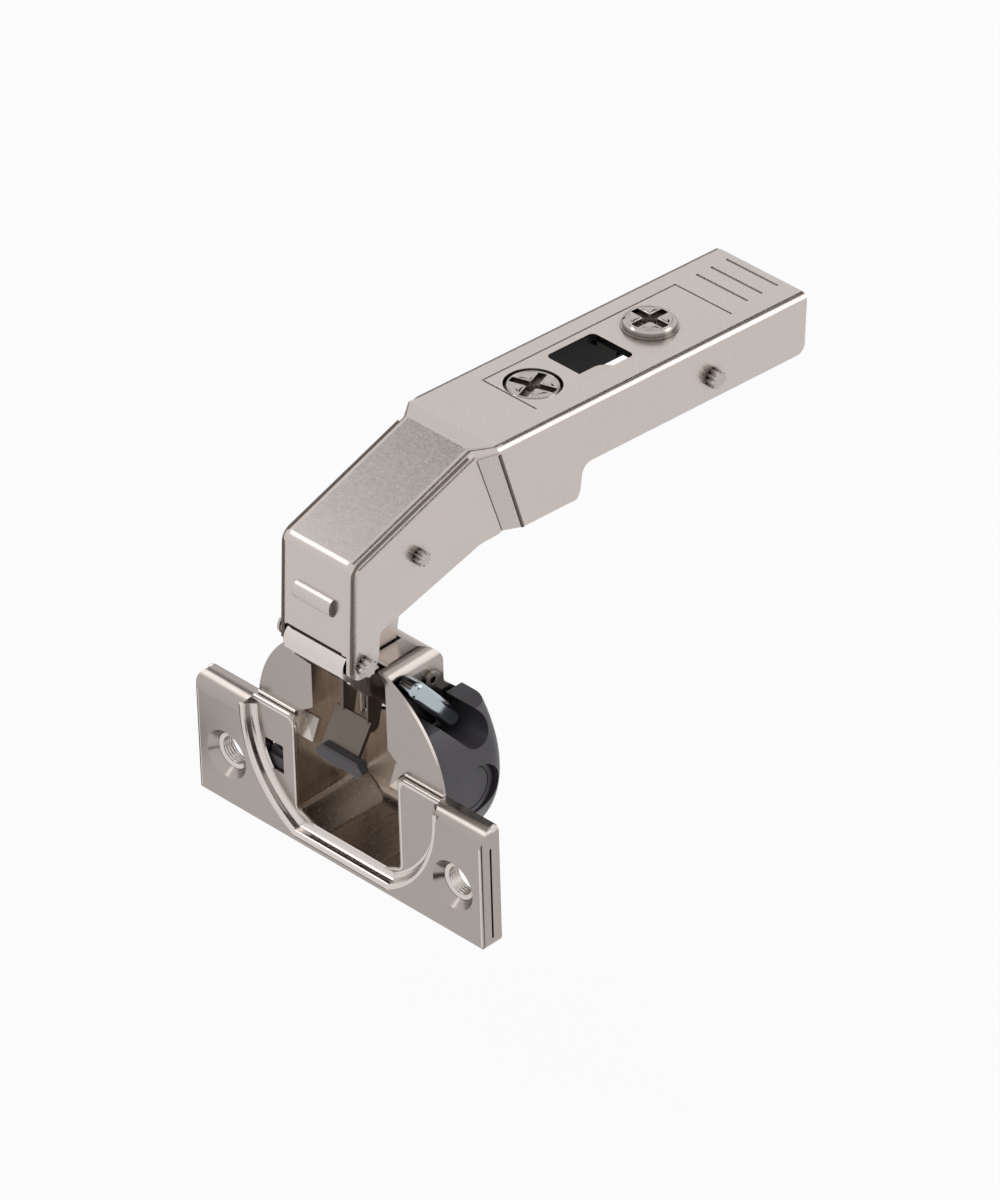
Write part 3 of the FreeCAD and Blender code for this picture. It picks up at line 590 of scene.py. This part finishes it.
class HINGE_OT_cup(bpy.types.Operator):
    """Adds the pressed cup with its flange, pocket and spring post"""
    bl_idname = "hinge.cup"
    bl_label = "Cup"

    def execute(self, context):
        dressed("cup_plate", inside=self.in_pocket)
        finished("spring_post")
        self.recess_wall()
        self.mouth_lip()
        for side in SIDES:
            self.pocket_corner(side)
            self.thread(side)
            self.wing_end(side)
        return {"FINISHED"}

    def wing_end(self, side):
        """A rolled edge round the end of a wing: up its front edge and over its top, in the lighter
        nickel of a painted highlight.
        """
        corners = [(-3.04, -17.4), (-3.04, 0.1), (-0.2, 1.7)]
        line = rounded_line(corners, [1.6])
        path = np.stack([np.full(len(line), side * 27.89), line[:, 0], line[:, 1]], axis=1)
        roll(side_name(side, "wing_end"), path, (1.0, 0.0, 0.0), 0.49, "cup_plate", "painted_highlight")

    def recess_wall(self):
        """The bend from the wings down to the centre: a convex arc, a steep wall, a concave arc, in
        the lighter nickel of a painted highlight.
        """
        rim = np.concatenate([arc_points((0.0, 0.0), 19.3, 183.0, 241.0, 44),
                              arc_points((0.0, 0.0), 19.3, 299.0, 357.0, 44)])
        rim = np.concatenate([[[-19.3, 0.9]], rim, [[19.3, 0.9]]])
        convex = arc_points((0.15, 2.95), 0.6, 150.0, 5.0, 13)
        concave = arc_points((1.65, 2.62), 0.9, 183.0, 270.0, 10)
        back = [(2.0, 1.6), (1.0, 1.6), (-0.3, 2.6)]
        profile = np.concatenate([convex, concave, back])
        band("recess_bend", in_door_plane(rim), in_door_plane(inward_of(rim)), profile,
             "cup_plate", "painted_highlight")

    def mouth_lip(self):
        """Fine rolls round the mouth of the pocket and along the top edge of the centre, in the
        lighter nickel of a painted highlight.
        """
        corners = [(-10.6, 1.3), (-10.6, -13.9), (-5.1, -16.3), (5.1, -16.3), (10.6, -13.9),
                   (10.6, 1.3)]
        line = rounded_line(corners, [1.2, 1.0, 1.0, 1.2])
        roll("mouth_lip", in_door_plane(line, -1.42), (0.0, 1.0, 0.0), 0.33, "cup_plate", "painted_highlight")
        for side in SIDES:
            top = rounded_line([(side * 18.5, 1.45), (side * 11.0, 1.45), (side * 10.6, 0.2)], [0.8])
            roll(side_name(side, "top_lip"), in_door_plane(top, -1.2), (0.0, 1.0, 0.0), 0.56,
                 "cup_plate", "painted_highlight")
            fold = np.array([(side * 18.3, 2.12), (side * 10.9, 2.12)])
            roll(side_name(side, "fold"), in_door_plane(fold, -0.55), (0.0, 1.0, 0.0), 0.3,
                 "cup_plate", "painted_highlight")

    def pocket_corner(self, side):
        """The drawn corner between a side wall and the pocket's floor: a concave arc, in the lighter
        nickel of a painted highlight.
        """
        arc = arc_points((4.4, 8.7), 3.0, 0.0, 90.0, 14)
        outline = np.concatenate([arc, [[4.4, 11.9], [7.6, 11.9], [7.6, 8.7]]])
        levels = np.linspace(-1.0, 8.6, 12)
        grid = np.stack([np.stack([side * outline[:, 0], outline[:, 1],
                                   np.full(len(outline), z)], axis=1) for z in levels])
        grid_piece(side_name(side, "pocket_corner"), capped(grid), "cup_plate", "painted_highlight")

    def thread(self, side):
        """Fine turns inside a screw hole: the radius waves with the depth. They take the lighter
        nickel of a painted highlight.
        """
        depth = np.linspace(0.15, 2.0, 49)
        radius = 2.24 + 0.06 * np.cos(2.0 * math.pi * depth / 0.45)
        profile = np.concatenate([[(2.45, 0.15)], np.stack([radius, depth], axis=1),
                                  [(2.6, 2.12), (2.85, 2.2), (2.85, 1.6), (2.45, 0.15)]])
        turned(side_name(side, "hole_turns"), profile, (side * 22.5, 0.0, -9.5), (0, -1, 0),
               "cup_plate", "painted_highlight")

    @staticmethod
    def in_pocket(centre, normal):
        """True for the faces inside the pocket."""
        x, y, z = centre
        floor = (normal[1] < -0.5) & (y > 3.0)
        wall = (normal[0] * x < -0.05) | (normal[2] * z < -0.05)
        return (y > -1.0) & (abs(x) < 10.6) & (abs(z) < 17.0) & (floor | wall)


class HINGE_OT_axle(bpy.types.Operator):
    """Adds the bent axle bar and the closing spring"""
    bl_idname = "hinge.axle"
    bl_label = "Axle and spring"

    def execute(self, context):
        finished("axle_bar", "closing_spring")
        return {"FINISHED"}


class HINGE_OT_housings(bpy.types.Operator):
    """Adds the moulded housings, the damper cap and the switch"""
    bl_idname = "hinge.housings"
    bl_label = "Housings and switch"

    def execute(self, context):
        finished("damper_housing", "damper_cap", "switch_housing", "switch_slider")
        # Painted shade: a fine near black ring in the groove round the damper cap stands for the
        # shade in it.
        circle = arc_points((6.9, -1.8), 3.4, 0.0, 360.0, 61)[:-1]
        path = np.concatenate([np.full((60, 1), 15.9), circle], axis=1)
        roll("damper_cap_shade_ring", path, (1.0, 0.0, 0.0), 0.07, "damper_cap", "recess", closed=True)
        return {"FINISHED"}


class HINGE_OT_lever(bpy.types.Operator):
    """Adds the lever in the pocket and its plastic bar"""
    bl_idname = "hinge.lever"
    bl_label = "Lever"

    def execute(self, context):
        finished("cam_slider")
        lever = dressed("cam_lever").data
        # Painted shade: the lever deep in the pocket takes the dark brown of the slot shade.
        lever.materials[0] = finish_of("slot")
        self.narrow(lever, 0.45)
        return {"FINISHED"}

    def narrow(self, mesh, share):
        """Draws the right half in to a share of its width."""
        points = points_of(mesh)
        across = points[:, 0]
        points[:, 0] = np.where(across > 0.0, across * share, across)
        put_points(mesh, points)


class HINGE_OT_links(bpy.types.Operator):
    """Adds the two sheet links"""
    bl_idname = "hinge.links"
    bl_label = "Links"

    def execute(self, context):
        finished("inner_link")
        link = dressed("outer_link").data
        self.turn_down_barrel(link, 0.86)
        # Painted highlight: the outer link takes the lighter edge nickel so it reads bright.
        link.materials[0] = finish_of("painted_highlight")
        return {"FINISHED"}

    def turn_down_barrel(self, mesh, share):
        """Thins the barrel: its skin comes nearer its axis, to a share of its radius."""
        points = points_of(mesh)
        axis = np.array([-4.6, 20.3]) * MM
        away = points[:, 1:] - axis
        reach = np.hypot(away[:, 0], away[:, 1])
        near = (reach > 2.2 * MM) & (reach < 2.56 * MM) & (abs(points[:, 0]) < 5.72 * MM)
        points[near, 1:] = axis + away[near] * share
        put_points(mesh, points)


class HINGE_OT_arm(bpy.types.Operator):
    """Adds the cranked arm"""
    bl_idname = "hinge.arm"
    bl_label = "Arm"

    def execute(self, context):
        # Painted shade: the channel's inner faces and the window's walls are coloured near black.
        dressed("arm_shell", self.in_shaded_channel, "recess")
        for side in SIDES:
            self.crease(side_name(side, "inner_crease_shade"), side * 7.17,
                        (18.58, 43.3), (23.0, 29.55), 0.1)
            self.crease(side_name(side, "outer_crease_shade"), side * 8.85,
                        (21.36, 43.7), (25.4, 29.8), 0.26)
            self.fold(side_name(side, "fold_shade_line"), side * 6.75, 0.24)
            self.edge_line(side_name(side, "inner_edge_shade"), side * 8.42, -0.03, 0.06)
        self.edge_line("left_outer_edge_shade", -8.85, -0.5, 0.1)
        self.barrel_gap_shade()
        return {"FINISHED"}

    def shade_line(self, name, x, line, radius):
        """A fine dark roll of painted shade along a line of (Y, Z) at one place across the arm."""
        path = np.concatenate([np.full((len(line), 1), x), line], axis=1)
        roll(name, path, (1.0, 0.0, 0.0), radius, "arm_shell", "slot")

    def crease(self, name, x, start, end, radius):
        """A line of painted shade in a bend of the side wall, straight from start to end."""
        step = np.linspace(0.0, 1.0, 6)[:, None]
        self.shade_line(name, x, (1.0 - step) * np.array([start]) + step * np.array([end]), radius)

    def fold(self, name, x, radius):
        """A line of painted shade along the bend between the front half's face and its side."""
        line = rounded_line([(-6.26, 20.2), (-5.27, 37.06), (17.28, 44.21)], [2.1], 15)
        self.shade_line(name, x, line, radius)

    def edge_line(self, name, x, h, radius):
        """A line of painted shade along the bend between the rear half's top and its side."""
        line = np.array([on_arm(x, s, h)[1:] for s in (1.5, 20.0, 40.0, 61.8)])
        self.shade_line(name, x, line, radius)

    def barrel_gap_shade(self):
        """A near black roll of painted shade in the gap between the front face's lower edge and the
        link's barrel.
        """
        path = np.array([(x, -6.35, 22.95) for x in (-5.6, -2.0, 2.0, 5.2)])
        roll("barrel_gap_shade", path, (0.0, 0.0, 1.0), 0.3, "arm_shell", "recess")

    @staticmethod
    def in_shaded_channel(centre, normal):
        """True for the inner faces of the channel, and for the walls of the window, which take near
        black painted shade.
        """
        s, h = along_and_above(centre)
        across = normal[0] * centre[0] < -0.1
        under = normal[1] * UP[1] + normal[2] * UP[2] < -0.3
        window = (s > 22.8) & (s < 32.2) & (abs(centre[0]) < 4.6) & (h < -0.1) & (h > -1.4)
        inner = (s > 5.0) & (h < -0.9) & (abs(centre[0]) < 8.0) & (across | under)
        return inner | window


class HINGE_OT_pins(bpy.types.Operator):
    """Adds the pins with their ribbed ends"""
    bl_idname = "hinge.pins"
    bl_label = "Pins"

    def execute(self, context):
        finished("latch_pin")
        for node, r, head in (("front_pin", 1.2, 1.65), ("middle_pin", 1.0, 1.0),
                              ("rear_pin", 1.25, 1.25)):
            self.pin(node, r, head)
        return {"FINISHED"}

    def pin(self, node, r, head):
        """A turned pin with a grooved head and a ribbed end, whose radius waves with the angle."""
        low, high = (np.array(c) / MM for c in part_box(node))
        start, end = low[0], high[0]
        centre = (0.0, middle(node)[1] / MM, middle(node)[2] / MM)
        profile = [(0.0, start), (head * 0.82, start), (head, start + 0.15), (head, start + 0.55),
                   (head * 0.86, start + 0.62), (head * 0.86, start + 0.74), (head, start + 0.82),
                   (head, start + 1.05), (r, start + 1.1), (r, end - 1.7), (0.0, end - 1.7)]
        body = turned(node + "_turned", profile, centre, (1, 0, 0), node, "bright")
        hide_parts(node)
        ribs = [(0.0, end - 1.72), (r * 0.96, end - 1.72), (r * 1.03, end - 1.6),
                (r * 1.03, end - 0.2), (r * 0.88, end), (0.0, end)]
        turned(node + "_ribs", ribs, centre, (1, 0, 0), node, "bright", ribs=9, rib_depth=0.13)


class HINGE_OT_screws(bpy.types.Operator):
    """Adds the two adjusting screws and the threaded collar"""
    bl_idname = "hinge.screws"
    bl_label = "Screws"

    def execute(self, context):
        finished("side_insert")
        for node, s, slot_turn, rim in (("side_screw", 15.9, 20.0, 3.62),
                                        ("depth_screw", 39.2, 0.0, 3.3)):
            # Painted shade: the cross slot's floor and walls take the dark brown slot shade.
            screw = dressed(node, partial(self.in_slot, s), "slot").data
            screw.materials[0] = finish_of("bright")
            top = along_and_above(points_of(screw).T / MM)[1].max()
            self.rim(node + "_rim", on_arm(0.0, s, top - 0.08), rim, 0.17, node)
            for quarter in range(4):
                self.dome(node, s, top, math.radians(slot_turn + 90.0 * quarter), quarter)
        return {"FINISHED"}

    def dome(self, node, s, top, turn, quarter):
        """A low dome between two arms of the slot, of which the first lies at the angle turn.

        Its sides keep off the arms' middle lines by a half width that grows outward, and its
        height is 0.18 * (1 - u^4) * (1 - v^4), with u outward and v across from -1 to 1.
        """
        rho = np.linspace(1.05, 3.0, 12)[:, None]
        half_width = 0.68 + 0.03 * (rho - 1.05) ** 2
        edge = np.arcsin(half_width / rho)
        across = np.linspace(0.0, 1.0, 15)[None, :]
        angle = turn + edge + across * (math.pi / 2.0 - 2.0 * edge)
        u = (rho - rho.mean()) * 2.0 / np.ptp(rho)
        v = 2.0 * across - 1.0
        upper = 0.18 * (1.0 - u ** 4) * (1.0 - v ** 4) - 0.03
        lower = np.full_like(upper, -0.06)
        height = top + np.concatenate([upper, lower[:, ::-1]], axis=1)
        angle = np.concatenate([angle, angle[:, ::-1]], axis=1)
        grid = (ARM_START + (rho * np.cos(angle))[..., None] * np.array([1.0, 0.0, 0.0])
                + (s + rho * np.sin(angle))[..., None] * ALONG + height[..., None] * UP)
        grid_piece("%s_dome_%d" % (node, quarter), capped(grid), node, "bright")

    def rim(self, name, centre, radius, thick, like):
        """A ring of round section about the screw's axis, half sunk in its head."""
        profile = arc_points((radius, 0.0), thick, 0.0, 360.0, 13)
        turned(name, profile, centre, UP, like, "bright", steps=64)

    @staticmethod
    def in_slot(middle_s, centre, normal):
        """True for the floor and walls of the cross slot under a screw's top, which take the dark
        brown painted shade.
        """
        s, above = along_and_above(centre)
        reach = np.hypot(centre[0], s - middle_s)
        highest = above.max()
        return (above < highest - 0.02) & (above > highest - 0.75) & (reach < 3.35)


class HINGE_OT_carriage(bpy.types.Operator):
    """Adds the inner channel with its release lever"""
    bl_idname = "hinge.carriage"
    bl_label = "Carriage and latch"

    def execute(self, context):
        # Painted shade: the channel's inner faces are coloured near black.
        self.ease_underside(dressed("carriage", self.in_shaded_channel, "recess").data)
        finished("latch_lever", "latch_spring")
        return {"FINISHED"}

    def ease_underside(self, mesh):
        """Lifts the underside of its top a little, clear of the threaded collar it touches."""
        depth = 2.75
        lift = 0.03 * MM
        points = points_of(mesh)
        h = along_and_above(points.T / MM)[1]
        underside = (abs(h + depth) < 0.01) & (abs(points[:, 0]) < 6.1 * MM)
        points[underside] += lift * UP
        put_points(mesh, points)

    @staticmethod
    def in_shaded_channel(centre, normal):
        """True for the inner faces of the channel, all but its top, which take near black painted
        shade.
        """
        s, h = along_and_above(centre)
        not_up = normal[1] * UP[1] + normal[2] * UP[2] < 0.5
        return (s < 40.0) & not_up & (abs(centre[0]) < 7.2)


class HINGE_OT_stage(bpy.types.Operator):
    """Adds the floor, the lights and the camera"""
    bl_idname = "hinge.stage"
    bl_label = "Stage"

    def execute(self, context):
        stage = context.scene.hinge_stage
        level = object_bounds()[0][2] - stage.floor_drop
        self.floor(level)
        self.world(context)
        self.lamp("top_box", (-0.60, -0.25, 0.76), 0.95, 0.62, 0.22, 1.75)
        self.lamp("back_box", (0.66, 0.66, 0.34), 0.95, 0.55, 0.75, 1.3)
        self.card("back_flag", (-0.25, 0.68, 0.68), 0.80, 0.24, 0.40, 0.02)
        self.card("top_flag", (0.10, 0.07, 1.0), 0.80, 0.30, 0.30, 0.03)
        self.card("side_flag", (0.95, 0.36, 0.10), 0.80, 0.20, 0.30, 0.03)
        self.card("left_flag", (-0.90, 0.40, 0.08), 0.80, 0.30, 0.26, 0.03)
        self.card("mid_flag", (-0.56, 0.26, 0.79), 0.80, 0.27, 0.24, 0.16)
        self.floor_card("left_floor_flag", (-0.15, -0.04), (-0.065, 0.03), level + 0.5 * MM, 0.04)
        self.floor_card("front_flag", (0.058, -0.11), (0.125, -0.015), level + 0.5 * MM, 0.04)
        self.camera(context, stage)
        context.scene.view_settings.view_transform = "Standard"
        return {"FINISHED"}

    def seen(self, recipe):
        """One for camera, glossy and transmission rays, which see the white background."""
        rays = [recipe.add("ShaderNodeLightPath", output=k)
                for k in ("Is Camera Ray", "Is Glossy Ray", "Is Transmission Ray")]
        return rays[0].math("MAXIMUM", rays[1]).math("MAXIMUM", rays[2])

    def sheet(self, name, corners, material):
        """A flat stage piece of four corners."""
        mesh = bpy.data.meshes.new(name)
        mesh.from_pydata([tuple(c) for c in corners], [], [(0, 1, 2, 3)])
        mesh.materials.append(material)
        piece = new_piece(name, mesh)
        piece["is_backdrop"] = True
        return piece

    def floor(self, level):
        """A pale floor that the camera and reflections see nearly white, with its shadow."""
        reach = 6.0
        recipe = Recipe(bpy.data.materials.new("pale_floor"))
        diffuse = recipe.add("ShaderNodeBsdfDiffuse", {}, {"Color": (0.9, 0.9, 0.9)})
        glow = recipe.add("ShaderNodeEmission", {}, {"Color": (1.0, 1.0, 1.0), "Strength": 1.0})
        mixed = recipe.add("ShaderNodeMixShader", {}, {0: self.seen(recipe) * 0.92,
                                                       1: diffuse, 2: glow})
        recipe.output("ShaderNodeOutputMaterial", mixed)
        self.sheet("floor", [(-reach, -reach, level), (reach, -reach, level),
                             (reach, reach, level), (-reach, reach, level)], recipe.owner)

    def world(self, context):
        """White for the camera and for reflections, and softer as a light."""
        world = bpy.data.worlds.new("studio")
        context.scene.world = world
        recipe = Recipe(world)
        glow = recipe.add("ShaderNodeBackground", {}, {
            "Color": (1.0, 1.0, 1.0), "Strength": self.seen(recipe) * 0.45 + 0.55})
        recipe.output("ShaderNodeOutputWorld", glow)

    def facing(self, direction, distance):
        """Centre and turn of a plane that looks at the hinge from a direction."""
        way = Vector(direction).normalized()
        centre = Vector((0.0, 0.03, 0.02)) + way * distance
        return centre, (-way).to_track_quat("-Z", "Y")

    def lamp(self, name, direction, distance, width, height, radiance):
        """A soft light box; its power is radiance times area times pi."""
        data = bpy.data.lights.new(name, "AREA")
        data.shape = "RECTANGLE"
        data.size = width
        data.size_y = height
        data.energy = radiance * width * height * math.pi
        lamp = bpy.data.objects.new(name, data)
        bpy.context.scene.collection.objects.link(lamp)
        centre, turn = self.facing(direction, distance)
        lamp.location = centre
        lamp.rotation_euler = turn.to_euler()

    def hide_from_all_but_gloss(self, piece):
        """Leaves a card to reflections alone."""
        for ray in ("camera", "diffuse", "transmission", "volume_scatter", "shadow"):
            setattr(piece, "visible_" + ray, False)

    def flag_material(self, name, tone):
        """Plain tone that a reflection sees."""
        recipe = Recipe(bpy.data.materials.new(name))
        glow = recipe.add("ShaderNodeEmission", {}, {"Color": (1.0, 1.0, 1.0), "Strength": tone})
        recipe.output("ShaderNodeOutputMaterial", glow)
        return recipe.owner

    def card(self, name, direction, distance, width, height, tone):
        """A dark card in the air, seen only in reflections."""
        centre, turn = self.facing(direction, distance)
        side = turn @ Vector((width / 2.0, 0.0, 0.0))
        up = turn @ Vector((0.0, height / 2.0, 0.0))
        corners = [centre - side - up, centre + side - up, centre + side + up, centre - side + up]
        piece = self.sheet(name, corners, self.flag_material(name, tone))
        self.hide_from_all_but_gloss(piece)

    def floor_card(self, name, low, high, level, tone):
        """A dark card flat on the floor, seen only in reflections."""
        corners = [(low[0], low[1], level), (high[0], low[1], level),
                   (high[0], high[1], level), (low[0], high[1], level)]
        piece = self.sheet(name, corners, self.flag_material(name, tone))
        self.hide_from_all_but_gloss(piece)

    def camera(self, context, stage):
        """The camera at its azimuth, elevation and roll, looking at its target."""
        a, e = stage.azimuth, stage.elevation
        back = Vector((math.sin(a) * math.cos(e), -math.cos(a) * math.cos(e), math.sin(e)))
        right = Vector((math.cos(a), math.sin(a), 0.0))
        turn = Matrix((right, back.cross(right), back)).transposed()
        turn = turn @ Matrix.Rotation(-stage.roll, 3, "Z")
        data = bpy.data.cameras.new("camera")
        data.lens = stage.lens
        data.sensor_width = 36.0
        data.clip_start = 0.05
        data.clip_end = 20.0
        camera = bpy.data.objects.new("camera", data)
        context.scene.collection.objects.link(camera)
        place = Vector(stage.target) + back * stage.distance
        camera.matrix_world = Matrix.Translation(place) @ turn.to_4x4()
        context.scene.camera = camera


STEPS = (HINGE_OT_cup, HINGE_OT_axle, HINGE_OT_housings, HINGE_OT_lever, HINGE_OT_links,
         HINGE_OT_arm, HINGE_OT_pins, HINGE_OT_screws, HINGE_OT_carriage, HINGE_OT_stage)


class HINGE_PT_panel(bpy.types.Panel):
    """Lists the steps and the settings"""
    bl_idname = "HINGE_PT_panel"
    bl_label = "Hinge"
    bl_space_type = "VIEW_3D"
    bl_region_type = "UI"
    bl_category = "Hinge"

    def draw(self, context):
        for step in STEPS:
            self.layout.operator(step.bl_idname)
        for settings in (context.scene.hinge_finish, context.scene.hinge_stage):
            for key in settings.__annotations__:
                self.layout.prop(settings, key)


CLASSES = (HingeFinish, HingeStage, *STEPS, HINGE_PT_panel)


def register():
    for cls in CLASSES:
        bpy.utils.register_class(cls)
    bpy.types.Scene.hinge_finish = bpy.props.PointerProperty(type=HingeFinish)
    bpy.types.Scene.hinge_stage = bpy.props.PointerProperty(type=HingeStage)


def unregister():
    del bpy.types.Scene.hinge_stage
    del bpy.types.Scene.hinge_finish
    for cls in reversed(CLASSES):
        bpy.utils.unregister_class(cls)


def main():
    """Builds every piece and the stage."""
    register()
    bpy.ops.hinge.cup()
    bpy.ops.hinge.axle()
    bpy.ops.hinge.housings()
    bpy.ops.hinge.lever()
    bpy.ops.hinge.links()
    bpy.ops.hinge.arm()
    bpy.ops.hinge.pins()
    bpy.ops.hinge.screws()
    bpy.ops.hinge.carriage()
    bpy.ops.hinge.stage()


if __name__ == "__main__":
    main()
